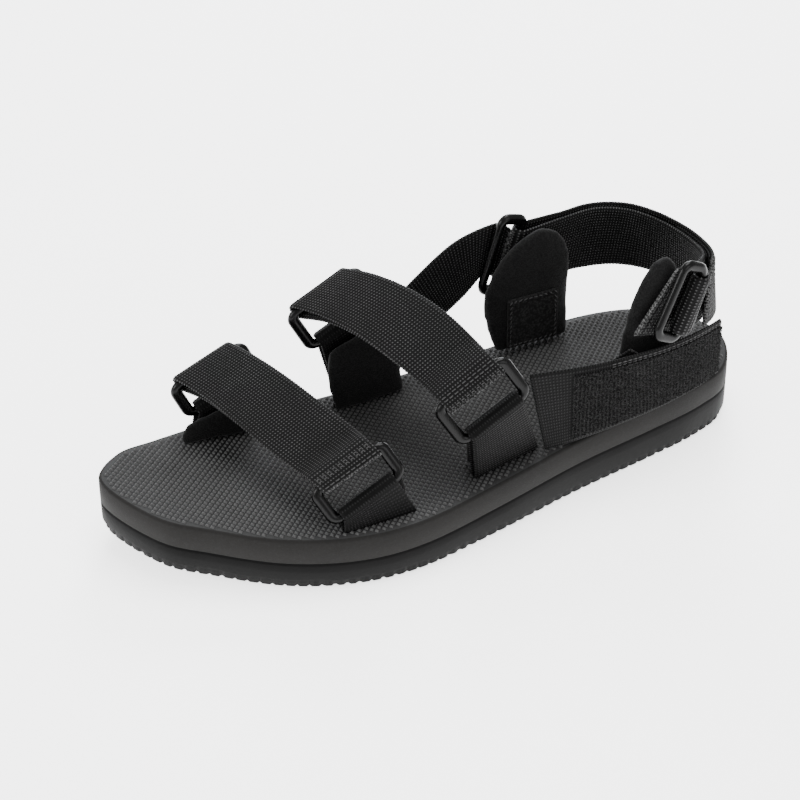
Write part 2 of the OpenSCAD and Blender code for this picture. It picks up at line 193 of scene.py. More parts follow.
def woven(dark, light, edge):
    """Nylon webbing: each thread float shows as a small dot of painted highlight on a dark ground."""
    def paint(g):
        u, v = g.along()
        row = 0.5 + 0.5 * g.cosine(u * math.tau)
        rib = 0.55 + 0.45 * g.cosine(v * math.tau)
        weave = row * rib
        worn = g.ramp(g.noise(90, 4), 0.35, 0.75)
        # dots: painted highlight on top of each raised thread float, in the light colour
        dots = g.ramp(weave + 0.3 * g.noise(800, 2), 0.6, 1.12)
        tone = g.mix(worn, g.mix(dots, rgb(dark), rgb(light)), g.mix(dots, rgb(dark * 1.4), rgb(light * 1.5)))
        fray = g.named("fray") * g.ramp(g.noise(1500, 3), 0.42, 0.66)
        height = weave + 0.25 * g.noise(2600, 2)
        return g.mix(fray, tone, rgb(edge)), 0.6 - 0.2 * dots + 0.1 * fray, height, 0.22
    return paint


def knitted(dark, light, scale):
    """Neoprene face: a fine knit over foam."""
    def paint(g):
        knit = g.cells(scale)
        shade = g.ramp(knit + 0.25 * g.noise(120, 4), 0.1, 0.9)
        return g.mix(shade, rgb(light), rgb(dark)), 0.95 - 0.1 * g.noise(60, 2), knit * 0.8, 0.18
    return paint


def piled(dark, light):
    """Brushed loop pile."""
    def paint(g):
        fluff = g.noise(1300, 5)
        u, v = g.along()
        lines = g.cosine(u * math.tau)
        dots = g.ramp(fluff + 0.16 * lines, 0.46, 0.78)
        return g.mix(dots, rgb(dark), rgb(light)), 0.9 - 0.2 * dots, fluff + 0.35 * lines, 0.5
    return paint


def foamed(dark, light, warm):
    """Closed cell foam, with a slight wear tint and tiny pores."""
    def paint(g):
        broad = g.noise(28, 5)
        pores = g.ramp(g.cells(1500), 0.02, 0.4)
        tone = g.mix(g.ramp(broad, 0.3, 0.7), rgb(*[dark * k for k in warm]), rgb(*[light * k for k in warm]))
        speck = g.mix(g.ramp(g.noise(900, 3), 0.45, 0.8, 0, 0.5), tone, rgb(light * 1.5))
        return speck, 0.62 + 0.16 * broad, 0.6 * pores + 0.5 * g.noise(420, 4), 0.1
    return paint


def ribbed_rubber(dark, light):
    """Outsole rubber: fine skin, darker where it meets the foam."""
    def paint(g):
        broad = g.noise(35, 4)
        stripe = g.named("stripe")
        tone = g.mix(g.ramp(broad, 0.3, 0.7), rgb(dark), rgb(light))
        return g.mix(stripe, tone, rgb(dark * 0.45)), 0.5 + 0.2 * broad, g.noise(650, 4), 0.08
    return paint


def moulded(dark, light):
    """Glossy moulded plastic with hair scratches."""
    def paint(g):
        streak = g.noise(1.0, 4, g.node("ShaderNodeMapping", None,
                                       {"Vector": g.place(), "Scale": (300.0, 2400.0, 300.0)}))
        worn = g.ramp(streak, 0.55, 0.8)
        return g.mix(worn, rgb(dark), rgb(light)), 0.2 + 0.22 * worn + 0.12 * g.noise(70, 3), streak, 0.02
    return paint


def twisted(dark, light):
    """Sewing thread."""
    def paint(g):
        twist = g.noise(1900, 2)
        return g.mix(twist, rgb(dark), rgb(light)), 0.5 + 0.2 * twist, twist, 0.06
    return paint


def cloth_skin(level, sheen=0.04):
    return {"Specular_IOR_Level": level, "Sheen_Weight": sheen}


# woven's light colour is the painted highlight on the thread floats; webbing_dull has a weaker painted highlight
webbing = finish("webbing", woven(0.001, 0.042, 0.1), (0.05, 0.05, 0.05), **cloth_skin(0.09, 0.02))
webbing_dull = finish("webbing_dull", woven(0.001, 0.0085, 0.08), (0.04, 0.04, 0.04), **cloth_skin(0.06))
neoprene = finish("neoprene", knitted(0.0015, 0.008, 1500.0), (0.03, 0.03, 0.03), **cloth_skin(0.12, 0.07))
patch_cloth = finish("patch_cloth", knitted(0.003, 0.018, 900.0), (0.04, 0.04, 0.04), **cloth_skin(0.12))
pile = finish("loop_pile", piled(0.0018, 0.022), (0.05, 0.05, 0.05), **cloth_skin(0.08, 0.02))
hooks = finish("hook_tape", piled(0.002, 0.018), (0.04, 0.04, 0.04), **cloth_skin(0.2))
foam = finish("footbed_foam", foamed(0.0068, 0.0105, (1.0, 1.0, 1.0)), (0.1, 0.1, 0.1), Specular_IOR_Level=0.3)
# a lighter copy of the footbed foam for the raised diamonds: painted highlight on their tips
foam_tips_painted_highlight = finish("footbed_tips_painted_highlight", foamed(0.02, 0.034, (1.0, 1.0, 1.0)), (0.12, 0.12, 0.12),
                   Specular_IOR_Level=0.5)
# the footbed foam for its side walls, darker than the top as painted shade, with a slight warm tint
foam_side_painted_shade = finish("footbed_side_painted_shade", foamed(0.0055, 0.0085, (1.06, 1.0, 0.94)), (0.1, 0.1, 0.1),
                   Specular_IOR_Level=0.12)
rubber = finish("outsole_rubber", ribbed_rubber(0.0026, 0.0044), (0.05, 0.05, 0.05), Specular_IOR_Level=0.09)
plastic = finish("ring_plastic", moulded(0.001, 0.0034), (0.03, 0.03, 0.03), Specular_IOR_Level=0.14,
                 Coat_Weight=0.04, Coat_Roughness=0.12)
thread = finish("thread", twisted(0.006, 0.05), (0.06, 0.06, 0.06), **cloth_skin(0.25))


def floor_paint(g):
    return g.mix(g.noise(3.0, 2), rgb(0.96), rgb(0.98)), 0.9 + 0.05 * g.noise(9.0), g.noise(400.0), 0.005


floor_mesh = bpy.data.meshes.new("floor")
floor_mesh.from_pydata([(-9, -9, 0), (9, -9, 0), (9, 9, 0), (-9, 9, 0)], [], [(0, 1, 2, 3)])
floor = put(bpy.data.objects.new("floor", floor_mesh))
floor_mesh.materials.append(finish("floor", floor_paint, (0.9, 0.9, 0.9), Emission_Color=rgb(1),
                                   Emission_Strength=2.2))


# ---------------------------------------------------------------- lines of the sandal, in millimetres

def vec(*p):
    return np.array(p, float)


def unit(v):
    return v / np.linalg.norm(v)


def smooth(t):
    t = np.clip(t, 0, 1)
    return t * t * (3 - 2 * t)


def cubic(a, b, c, d, t):
    return 0.5 * (2 * b + (c - a) * t + (2 * a - 5 * b + 4 * c - d) * t ** 2 + (3 * b - a - 3 * c + d) * t ** 3)


def spline(points, n):
    p = np.array(points, float)
    m = len(p)
    out = [cubic(p[max(i - 1, 0)], p[i], p[i + 1], p[min(i + 2, m - 1)], k / n)
           for i in range(m - 1) for k in range(n)]
    return np.array(out + [p[-1]])


def loop_spline(points, n):
    p = np.array(points, float)
    m = len(p)
    return np.array([cubic(p[i - 1], p[i], p[(i + 1) % m], p[(i + 2) % m], k / n)
                     for i in range(m) for k in range(n)])


SOLE_LEN, FOOTBED_T = 280.0, 11.3
outline = loop_spline([
    (0, -4.2), (9.8, 17.6), (28, 26.8), (56, 32.9), (92.4, 39.5), (131.6, 48.7), (168, 55.7), (196, 54.4),
    (224, 45.5), (249.2, 30.3), (267.4, 16.4), (280, -11.8), (267.4, -29.4), (249.2, -35.3), (224, -40),
    (196, -39.5), (168, -38.2), (131.6, -37.1), (92.4, -37.5), (56, -41.4), (28, -37.2), (9.8, -25.2)], 30)
outline = np.stack([outline[:, 1], SOLE_LEN / 2 - outline[:, 0]], 1)
following = np.roll(outline, -1, 0)
outline_way = np.sign(np.sum(outline[:, 0] * following[:, 1] - following[:, 0] * outline[:, 1]))


def bottom_z(y):
    return 9.6 * (np.maximum(0.5 - y / SOLE_LEN - 0.65, 0) / 0.35) ** 2


def bed_z(y):
    return 27.6 + (24.3 - 27.6) * smooth((0.5 - y / SOLE_LEN - 0.25) / 0.45) + bottom_z(y)


def join_z(y):
    return bed_z(y) - FOOTBED_T


WEB_T, WEB_W, FIX_T, BAR_R, RING_GAP = 1.8, 26.0, 0.8, 1.9, 18.2
FIT, NEAR, SKIN = 0.4, 0.12, 0.2
WRAP_R = BAR_R + FIT
BAR_D_IN = WEB_T + WRAP_R
LOOP_LO = WEB_T + NEAR
HOOK_LO = LOOP_LO + FIX_T + FIT
FLAP_LO = HOOK_LO + FIX_T + NEAR
FOLD_HI = 2 * WRAP_R + WEB_T
flap_lift = FOLD_HI + (FLAP_LO - FOLD_HI) * smooth(np.arange(81) / 6)
cross_lift = flap_lift + (FOLD_HI + WEB_T + FIT - FLAP_LO) * smooth((np.arange(81) - 20) / 3.5)
FLAP_END, OVERHANG = 27, 2.6
cross_lift[FLAP_END - 1:FLAP_END + 1] -= (0.2, 0.9)

# front and rear edges of the forefoot strap (ff, fr) and the instep strap (jf, jr),
# upper and lower edges of the heel strap (ht, hl), lower and upper edges of the side band (bl, bt)
ff = spline([(-37.4, -94.2, 46.6), (-24, -88.5, 48.2), (-8, -82.5, 46.6), (10, -76, 43.6), (26, -69.6, 40.6),
             (36.4, -65, 38)], 5)
fr = spline([(-37.4, -69.6, 57), (-24, -65, 60.2), (-6, -58.8, 60.6), (12, -52, 58), (27, -45.4, 54),
             (36.6, -41.6, 50.2)], 5)
jf = spline([(-33.8, -43.2, 69.4), (-20, -35.6, 73.2), (-6, -28.4, 72.8), (9, -21.4, 69.2), (22, -14.8, 64.2),
             (31.8, -10, 58.8)], 5)
jr = spline([(-33.8, -19.6, 81.2), (-20, -12, 86.4), (-5, -4, 86.6), (10, 3, 83.6), (22, 8, 78.6),
             (32, 12.8, 71.9)], 5)
ht = spline([(-34.6, 59.8, 82.8), (-34.6, 79, 84.6), (-33.9, 92, 85.6), (-28.5, 103.5, 85.2), (-19.5, 111, 84.2),
             (-8, 116.3, 83), (4, 117.6, 83.2), (14.5, 114.8, 86), (22.6, 109.2, 89.4), (27.6, 102, 92),
             (30.4, 93.5, 93.6)], 5)
hl = spline([(-34.6, 52, 57.2), (-34.6, 72, 57.4), (-34.4, 87, 57.2), (-31.5, 101, 56.6), (-23.5, 112.2, 55.6),
             (-11, 119.6, 54.6), (3, 121.8, 54.8), (17.4, 116, 57), (28.2, 100.4, 61.2), (31.2, 86.5, 65),
             (31.8, 74.5, 68)], 5)
bl = spline([(37.4, 32.2, 28), (37.6, 44, 28.1), (36.6, 60, 28.2), (34.6, 75, 28.3), (32.4, 88, 28.3),
             (29.8, 100, 28.4), (26.2, 111.4, 28.4), (21.4, 121.6, 28.4)], 5)
bt = spline([(35, 25.5, 65.6), (35, 45, 62.6), (35.6, 60, 61.4), (35.6, 72, 61.2), (34.4, 85, 60.4),
             (32, 98, 59.6), (28, 109.6, 58.4), (23, 120.6, 56.8)], 5)


def normals_of(a, b):
    mid = (a + b) / 2
    run = np.vstack([mid[1:], mid[-1:]]) - np.vstack([mid[:1], mid[:-1]])
    n = np.cross(run, b - a)
    return n / np.linalg.norm(n, axis=1)[:, None]


def arc(c, e1, e2, r, a0, a1, n=8):
    return [c + r * (math.cos(a) * e1 + math.sin(a) * e2) for a in np.radians(np.linspace(a0, a1, n + 1))]


def ring_at(a, b, k, d, length, way, gap):
    """First bar's middle, its run, and the way to the second bar."""
    n = normals_of(a, b)[k]
    p, q = a[k] + d * n, b[k] + d * n
    w = unit(q - p)
    h = vec(*way) - vec(*way).dot(w) * w
    return (p + q) / 2, w * length, unit(h) * gap


def turn(a, b, e, k, s, d, up):
    n = normals_of(a, b)[k]
    j = k if s > 0 else k + 1
    t = s * unit(a[j] + b[j] - a[j - 1] - b[j - 1])
    return arc(e[k] + d * n, -n, t, WRAP_R, up * 180, 180 - up * 180)


def lifted(a, b, e, i, j, lift):
    n = normals_of(a, b)
    lifts = np.broadcast_to(lift, len(a)) if np.isscalar(lift) else lift
    return [e[k] + lifts[k] * n[k] for k in range(i, j + (1 if j > i else -1), 1 if j > i else -1)]


def base_line(a, b, e, start):
    return lifted(a, b, e, start, 1, WEB_T) + turn(a, b, e, 0, -1, BAR_D_IN, 0)


def hung(e):
    t = OVERHANG * unit(e[-1] - e[-2])
    return np.vstack([e, [e[-1] + t, e[-1] + 2 * t]])


def cross_line(a, b, e):
    m = len(a) - 1
    rise = [LOOP_LO + (FOLD_HI - LOOP_LO) * {m - 1: 0.8, m - 2: 0.1}.get(k, 0) for k in range(m + 1)]
    return lifted(a, b, e, m - 5, m - 1, rise) + turn(a, b, e, m, 1, BAR_D_IN, 1) + base_line(a, b, e, m - 1)


keeper_k, keeper_d = len(ht) - 7, BAR_D_IN + WEB_T + 0.7
keeper_a, keeper_b = ht + 0.1 * (hl - ht), ht + 0.9 * (hl - ht)
last = len(ff) - 1
rings = {
    "fore_ring_medial": ring_at(ff, fr, 0, BAR_D_IN, WEB_W + 5, (2, 4, -13), RING_GAP * 0.8),
    "fore_ring_lateral": ring_at(ff, fr, last, BAR_D_IN, WEB_W + 5, (9, 7.4, -14), RING_GAP * 0.8),
    "instep_ring_medial": ring_at(jf, jr, 0, BAR_D_IN, WEB_W + 5, (2, 8, -17), RING_GAP),
    "instep_ring_lateral": ring_at(jf, jr, last, BAR_D_IN, WEB_W + 5, (6, 9, -17), RING_GAP),
    "ankle_ring_medial": ring_at(ht, hl, 0, BAR_D_IN, 33, (0.8, -17, 5), 10.8),
    "ankle_ring_lateral": ring_at(keeper_a, keeper_b, keeper_k, keeper_d, 30, (2, -16, 3), 10.8),
}


# ---------------------------------------------------------------- mesh makers

def mesh_piece(name, points, faces, material, smooth_faces=True, uv=None, marks=None):
    mesh = bpy.data.meshes.new(name)
    mesh.from_pydata((np.array(points) * MM).tolist(), [], faces)
    if uv is not None:
        layer = mesh.uv_layers.new(name="weave")
        corners = np.zeros(len(mesh.loops), int)
        mesh.loops.foreach_get("vertex_index", corners)
        layer.data.foreach_set("uv", np.asarray(uv, np.float32)[corners].ravel())
    for key, values in (marks or {}).items():
        mesh.attributes.new(key, "FLOAT", "POINT").data.foreach_set("value", np.asarray(values, np.float32))
    if smooth_faces:
        mesh.polygons.foreach_set("use_smooth", [True] * len(mesh.polygons))
    mesh.materials.append(material)
    return put(bpy.data.objects.new(name, mesh))


def applied(piece):
    """Turns a piece's modifiers into plain mesh."""
    mesh = bpy.data.meshes.new_from_object(piece.evaluated_get(bpy.context.evaluated_depsgraph_get()))
    piece.modifiers.clear()
    piece.data = mesh
    return piece


def even(rows, step):
    """Rows of values respaced evenly along their middle line, smoothed between the given ones."""
    dense = spline(rows, 10)
    mid = (dense[:, :3] + dense[:, 3:6]) / 2
    run = np.concatenate([[0], np.cumsum(np.linalg.norm(np.diff(mid, axis=0), axis=1))])
    n = max(int(round(run[-1] / step)), 3)
    spots = np.linspace(0, run[-1], n + 1)
    return np.stack([np.interp(spots, run, dense[:, k]) for k in range(dense.shape[1])], 1)


def ripple(p, seed):
    """Slow uneven lie of a cloth, from -1 to 1."""
    x, y, z = p[..., 0], p[..., 1], p[..., 2]
    return (np.sin(x * 0.21 + seed) + np.sin(y * 0.17 + 1.7 * seed) + np.sin(z * 0.26 + x * 0.11 + seed * 0.6)) / 3


FRAY_LENGTH = 1.1


def strip(name, a, b, lo, hi, material, step=0.65, weave=0.1, wave=0.12, cuts=(1, 1), cut=None, side=0.45):
    """A closed strip of cloth between two edge lines, from lo to hi above them, woven on both faces.
    cut is an index of the given rows: the strip is made in two pieces that meet there."""
    a, b = np.array(a, float), np.array(b, float)
    m = len(a)
    lo = np.broadcast_to(np.asarray(lo, float), m)
    hi = np.broadcast_to(np.asarray(hi, float), m)
    rows = even(np.column_stack([a, b, lo, hi, np.arange(m)]), step)
    a, b, lo, hi, row = rows[:, :3], rows[:, 3:6], rows[:, 6], rows[:, 7], rows[:, 8]
    n = normals_of(a, b)
    width = np.linalg.norm(b - a, axis=1).mean()
    across = max(int(round(width / step)), 4)
    across += across % 2
    t = np.linspace(0, 1, across + 1)
    flat = a[:, None] + (b - a)[:, None] * t[None, :, None]
    i, j = np.meshgrid(np.arange(len(a)), np.arange(across + 1), indexing="ij")
    check = np.where((i % 2 == 0) & (j % 2 == 0), 1.0, np.where(i % 2 == 0, -0.1, -1.0))
    edge = np.minimum(j, across - j)
    drop = np.select([edge == 0, edge == 1], [0.42, 0.1], 0.0)
    shift = wave * ripple(flat, len(name)) * np.minimum(1, np.minimum(i, len(a) - 1 - i) / 12)
    up = n[:, None, :]
    top = flat + up * (hi[:, None] + shift + weave * check - drop - weave)[..., None]
    under = flat + up * (lo[:, None] + shift - weave * check + drop + weave)[..., None]
    middle = ((lo + hi) / 2)[:, None] + shift
    out = (b - a) / np.linalg.norm(b - a, axis=1)[:, None]
    lace = side * (0.55 + 0.45 * np.cos(np.arange(len(a)) * math.pi))[:, None]
    left = flat[:, 0] + n * middle[:, :1] - out * lace
    right = flat[:, -1] + n * middle[:, -1:] + out * lace
    ring = np.concatenate([top, right[:, None], under[:, ::-1], left[:, None]], 1)
    size = ring.shape[1]
    v = np.concatenate([np.arange(across + 1), [across + 0.5], np.arange(across + 1)[::-1], [-0.5]]) / 2
    spans = [(0, len(a) - 1)]
    if cut is not None:
        c = int(np.argmin(np.abs(row - cut)))
        spans = [(0, c), (c, len(a) - 1)]
    made = []
    for k, (first, end) in enumerate(spans):
        part = ring[first:end + 1]
        count = len(part)
        grid = np.arange(count * size).reshape(count, size)
        r = np.arange(size)
        q = (r + 1) % size
        faces = np.stack([grid[:-1][:, r], grid[1:][:, r], grid[1:][:, q], grid[:-1][:, q]], -1).reshape(-1, 4)
        faces = faces.tolist()
        for base, flip in ((0, False), ((count - 1) * size, True)):
            cap = [[base + x for x in (s, s + 1, 2 * across + 1 - s, 2 * across + 2 - s)] for s in range(across)]
            cap.append([base + size - 1, base, 2 * across + 2 + base])
            cap.append([base + across, base + across + 1, base + across + 2])
            faces += [face[::-1] for face in cap] if flip else cap
        u = np.repeat((np.arange(first, end + 1)) / 2, size)
        uv = np.column_stack([u, np.tile(v, count)])
        from_start = np.arange(first, end + 1)
        fray = np.zeros(count)
        for is_cut, away in zip(cuts, (from_start, len(a) - 1 - from_start)):
            if is_cut:
                fray = np.maximum(fray, np.clip(1 - away * step / FRAY_LENGTH, 0, 1))
        label = name if len(spans) == 1 else name[k]
        made.append(mesh_piece(label, part.reshape(-1, 3), faces, material, uv=uv,
                               marks={"fray": np.repeat(fray, size)}))
    return made


def settle(piece, body, *nodes, slot="webbing"):
    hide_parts(*nodes)
    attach(piece, body)


def geometry_tree(name, sizes):
    """An empty geometry tree with named inputs; gives the tree, its graph and its inputs."""
    tree = bpy.data.node_groups.new(name, "GeometryNodeTree")
    tree.interface.new_socket("Geometry", in_out="OUTPUT", socket_type="NodeSocketGeometry")
    tree.interface.new_socket("Geometry", in_out="INPUT", socket_type="NodeSocketGeometry")
    for key, (kind, value) in sizes.items():
        made = tree.interface.new_socket(key, in_out="INPUT", socket_type=f"NodeSocket{kind}")
        if value is not None:
            made.default_value = value
    graph = Graph(tree)
    entry = tree.nodes.new("NodeGroupInput")
    return tree, graph, {s.name: Wire(graph, s) for s in entry.outputs if s.name}


def close_tree(graph, instances, material):
    real = graph.node("GeometryNodeRealizeInstances", None, [instances])
    done = graph.node("GeometryNodeSetMaterial", None, {"Geometry": real, "Material": material})
    end = graph.tree.nodes.new("NodeGroupOutput")
    graph.tree.links.new(done.socket, end.inputs[0])


def stitch_tree():
    tree, g, given = geometry_tree("stitches", {
        "Pitch": ("Float", 0.0026), "Length": ("Float", 0.0019), "Thickness": ("Float", 0.0005),
        "Material": ("Material", None)})
    curve = g.node("GeometryNodeMeshToCurve", None, [given["Geometry"]])
    spots = g.node("GeometryNodeCurveToPoints", {"mode": "LENGTH"}, {"Curve": curve, "Length": given["Pitch"]})
    owner = spots.socket.node
    facing = g.node("FunctionNodeAlignRotationToVector", {"axis": "Z"}, {"Vector": Wire(g, owner.outputs["Tangent"])})
    bead = g.node("GeometryNodeMeshUVSphere", None, {"Segments": 6, "Rings": 4, "Radius": 0.5})
    size = g.node("ShaderNodeCombineXYZ", None, [given["Thickness"], given["Thickness"], given["Length"]])
    placed = g.node("GeometryNodeInstanceOnPoints", None,
                    {"Points": spots, "Instance": bead, "Rotation": facing, "Scale": size})
    close_tree(g, placed, given["Material"])
    return tree


def stud_tree():
    tree, g, given = geometry_tree("studs", {
        "Sides": ("Int", 4), "Foot": ("Float", 0.001), "Tip": ("Float", 0.0004), "Height": ("Float", 0.0005),
        "Stretch": ("Vector", (1, 1, 1)), "Turn": ("Float", 0.0), "Uneven": ("Float", 0.0),
        "Seed": ("Int", 7), "Material": ("Material", None)})
    stud = g.node("GeometryNodeMeshCone", {"fill_type": "NGON"}, {
        "Vertices": given["Sides"], "Radius Top": given["Tip"], "Radius Bottom": given["Foot"],
        "Depth": given["Height"]})
    shaped = g.node("GeometryNodeTransform", None, {
        "Geometry": stud, "Rotation": g.node("ShaderNodeCombineXYZ", None, [0.0, 0.0, given["Turn"]])})
    stretched = g.node("GeometryNodeTransform", None, {"Geometry": shaped, "Scale": given["Stretch"]})
    chance = g.node("FunctionNodeRandomValue", {"data_type": "FLOAT"}, {2: -1.0, 3: 1.0, "Seed": given["Seed"]}, 1)
    tilt = g.node("FunctionNodeRandomValue", {"data_type": "FLOAT_VECTOR"},
                  {0: (-3.0, -3.0, -3.0), 1: (3.0, 3.0, 3.0), "Seed": given["Seed"]}, 0)
    lean = g.node("ShaderNodeVectorMath", {"operation": "SCALE"}, {0: tilt, 3: given["Uneven"]})
    placed = g.node("GeometryNodeInstanceOnPoints", None, {
        "Points": given["Geometry"], "Instance": stretched, "Rotation": lean,
        "Scale": 1 + chance * given["Uneven"]})
    close_tree(g, placed, given["Material"])
    return tree


stitches, studs = stitch_tree(), stud_tree()


def grown(name, tree, points, edges, **inputs):
    """Runs a geometry tree on points or lines and keeps the result as a plain mesh."""
    seed = bpy.data.meshes.new(name)
    seed.from_pydata((np.array(points) * MM).tolist(), edges, [])
    holder = put(bpy.data.objects.new(name, seed))
    modifier = holder.modifiers.new("grow", "NODES")
    modifier.node_group = tree
    for item in tree.interface.items_tree:
        if item.item_type == "SOCKET" and item.in_out == "INPUT" and item.name in inputs:
            modifier[item.identifier] = inputs[item.name]
    ready = holder.evaluated_get(bpy.context.evaluated_depsgraph_get())
    mesh = bpy.data.meshes.new_from_object(ready)
    bpy.data.objects.remove(holder)
    mesh.name = name
    return put(bpy.data.objects.new(name, mesh))


# ---------------------------------------------------------------- sole

def inset(d):
    """The outline moved inwards by d."""
    run = np.roll(outline, -1, 0) - np.roll(outline, 1, 0)
    run /= np.linalg.norm(run, axis=1)[:, None]
    side = np.stack([-run[:, 1], run[:, 0]], 1)
    return outline + side * d * outline_way


def inside(points, d):
    loop = inset(d)
    x, y = points[:, 0][:, None], points[:, 1][:, None]
    x0, y0 = loop[:, 0][None], loop[:, 1][None]
    x1, y1 = np.roll(x0, -1), np.roll(y0, -1)
    crossing = ((y0 > y) != (y1 > y)) & (x < (x1 - x0) * (y - y0) / (y1 - y0 + 1e-12) + x0)
    return crossing.sum(1) % 2 == 1


def slab(name, walls, top, bottom, material, second=None, marks=None):
    """A layer of the sole: walls are (inset, height function) from bottom to top, with filled faces."""
    n = len(outline)
    points, faces = [], []
    for d, z in walls:
        ring = inset(np.asarray(d)[..., None] if np.ndim(d) else d)
        points += np.column_stack([ring, z(ring[:, 1])]).tolist()
    for k in range(len(walls) - 1):
        for i in range(n):
            j = (i + 1) % n
            face = [k * n + i, k * n + j, (k + 1) * n + j, (k + 1) * n + i]
            faces.append(face if outline_way > 0 else face[::-1])
    sides = len(faces)
    for level, z, up in ((len(walls) - 1, top, True), (0, bottom, False)):
        ring = np.array(points[level * n:(level + 1) * n])[:, :2]
        gx, gy = np.meshgrid(np.arange(-44, 60, 4.0), np.arange(-138, 140, 4.0))
        inner = np.stack([gx.ravel(), gy.ravel()], 1)
        inner = inner[inside(inner, 4.5)]
        cloud = [Vector(p) for p in np.vstack([ring, inner])]
        edges = [(i, (i + 1) % n) for i in range(n)]
        co, _, tris, *_ = delaunay_2d_cdt(cloud, edges, [], 1, 1e-5)
        base = len(points)
        points += [(p.x, p.y, float(z(np.array(p.y)))) for p in co[n:]]
        for tri in tris:
            p, q, r = (co[v] for v in tri)
            turned = (q - p).cross(r - p) > 0
            face = [level * n + v if v < n else base + v - n for v in tri]
            faces.append(face if turned == up else face[::-1])
    values = {}
    if marks:
        z = np.array(points)[:, 2]
        y = np.array(points)[:, 1]
        values = {key: fn(y, z) for key, fn in marks.items()}
    made = mesh_piece(name, points, faces, material, marks=values)
    if second:
        made.data.materials.append(second)
        made.data.polygons.foreach_set("material_index", [1] * sides + [0] * (len(faces) - sides))
    sharp = made.modifiers.new("corners", "EDGE_SPLIT")
    sharp.split_angle = math.radians(40)
    return applied(made)


# the side walls take the darker foam copy, a painted shade; the top keeps the plain foam
footbed = slab("footbed_body", [
    (0.25, join_z), (0.0, lambda y: join_z(y) + 0.35), (0.02, lambda y: bed_z(y) - 5.4),
    (0.12, lambda y: bed_z(y) - 1.2), (0.5, lambda y: bed_z(y) - 0.45), (1.3, bed_z)],
    bed_z, join_z, foam, foam_side_painted_shade)
settle(footbed, "sandal", "footbed", slot="footbed")


def staggered(rows, columns, shift, margin):
    """Places in numbered rows, every second row moved by shift, that lie inside the sole's edge."""
    spots = np.array([(x + (shift if number % 2 else 0), y) for number, y in rows for x in columns])
    return spots[inside(spots, margin)]


DIAMOND_STEP = 3.1
spots = staggered(enumerate(np.arange(-137.5, 138.5, DIAMOND_STEP / 2)), np.arange(-45.0, 58.0, DIAMOND_STEP),
                  DIAMOND_STEP / 2, 2.6)
# the diamonds take the lighter foam copy, a painted highlight
diamonds = grown("footbed_diamonds", studs, np.column_stack([spots, bed_z(spots[:, 1]) + 0.2]), [],
                 Sides=4, Foot=0.00125, Tip=0.0004, Height=0.0006, Stretch=(1.0, 0.8, 1.0), Turn=0.0,
                 Material=foam_tips_painted_highlight)
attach(diamonds, "sandal")

LEDGE = 4.8
run = np.concatenate([[0], np.cumsum(np.linalg.norm(np.diff(outline, axis=0), axis=1))])
patches = smooth(4 * np.sin(run * 0.16 + 1.0) + 0.6)
teeth = 0.45 * np.abs(np.sin(run * 0.72)) * patches + 0.25 * np.sin(run * 0.3)
nicks = 0.55 * smooth(6 * np.sin(run * 1.25) - 3.4)


def lower_edge(y):
    return bottom_z(y) + LEDGE - 0.45 + teeth


def foot_edge(y):
    return bottom_z(y) + 0.1 + 0.6 * nicks


outsole = slab("outsole_body", [
    (7.0, lambda y: bottom_z(y) + 2.4), (6.5, lambda y: bottom_z(y) + 2.2), (6.1, lambda y: bottom_z(y) + 0.2),
    (5.8, bottom_z), (1.9 + 1.2 * nicks, foot_edge), (1.2 + nicks, lambda y: foot_edge(y) + 0.7),
    (0.95 + 0.5 * nicks, lambda y: lower_edge(y) - 0.5), (0.85, lambda y: lower_edge(y) - 0.15), (0.2, lower_edge),
    (0.03, lambda y: lower_edge(y) + 0.5), (0.0, lambda y: join_z(y) - 4.8), (0.0, lambda y: join_z(y) - 4.0),
    (0.0, lambda y: join_z(y) - 1.3), (0.2, lambda y: join_z(y) - 0.9),
    (0.5, lambda y: join_z(y) - 0.5), (0.6, lambda y: join_z(y) - 0.02)],
    lambda y: join_z(y) - 0.02, lambda y: bottom_z(y) + 2.4, rubber,
    marks={"stripe": lambda y, z: smooth((z - join_z(y) + 4.7) / 0.6)})
settle(outsole, "sandal", "outsole", slot="outsole")

LUG_STEP_X, LUG_STEP_Y = 8.8, 15.4
lug_spots = staggered([(k, k * LUG_STEP_Y) for k in range(-9, 10)], np.arange(-44, 60, LUG_STEP_X),
                      LUG_STEP_X / 2, 12.5)
lugs = grown("tread_lugs", studs, np.column_stack([lug_spots, bottom_z(lug_spots[:, 1]) + 1.35]), [],
             Sides=4, Foot=0.0052, Tip=0.0059, Height=0.0027, Stretch=(0.95, 1.25, 1.0), Turn=math.pi / 4,
             Material=rubber)
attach(lugs, "sandal")


# ---------------------------------------------------------------- straps

seams = {"sandal": [], "fore_flap_body": [], "instep_flap_body": [], "heel_flap_body": [], "side_band_body": []}


def pick(rows, k):
    """The points at k, whole or between, along a line of points."""
    return np.stack([np.interp(k, np.arange(len(rows)), rows[:, c]) for c in range(3)], -1)


def seam(body, a, b, lift, i, j, across):
    """A row of stitches on a strap, at a share of its width, from point i to j of its lines."""
    k = np.linspace(i, j, max(int((j - i) * 3), 2))
    near, far = pick(a, k), pick(b, k)
    seams[body].append(near + (far - near) * across + pick(normals_of(a, b), k) * lift)


def hem(body, a, b, lift, k, margin=0.07):
    """A row of stitches across a strap at point k."""
    up = lift if np.isscalar(lift) else np.interp(k, np.arange(len(lift)), lift)
    rise = pick(normals_of(a, b), k) * up
    p, q = pick(a, k) + rise, pick(b, k) + rise
    seams[body].append(np.array([p + (q - p) * s for s in np.linspace(margin, 1 - margin, 14)]))


def between(piece, start, end):
    """Bakes a piece's placement into its mesh."""
    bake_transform(piece)


def middle(a, b, k, lift):
    return (a[k] + b[k]) / 2 + normals_of(a, b)[k] * lift


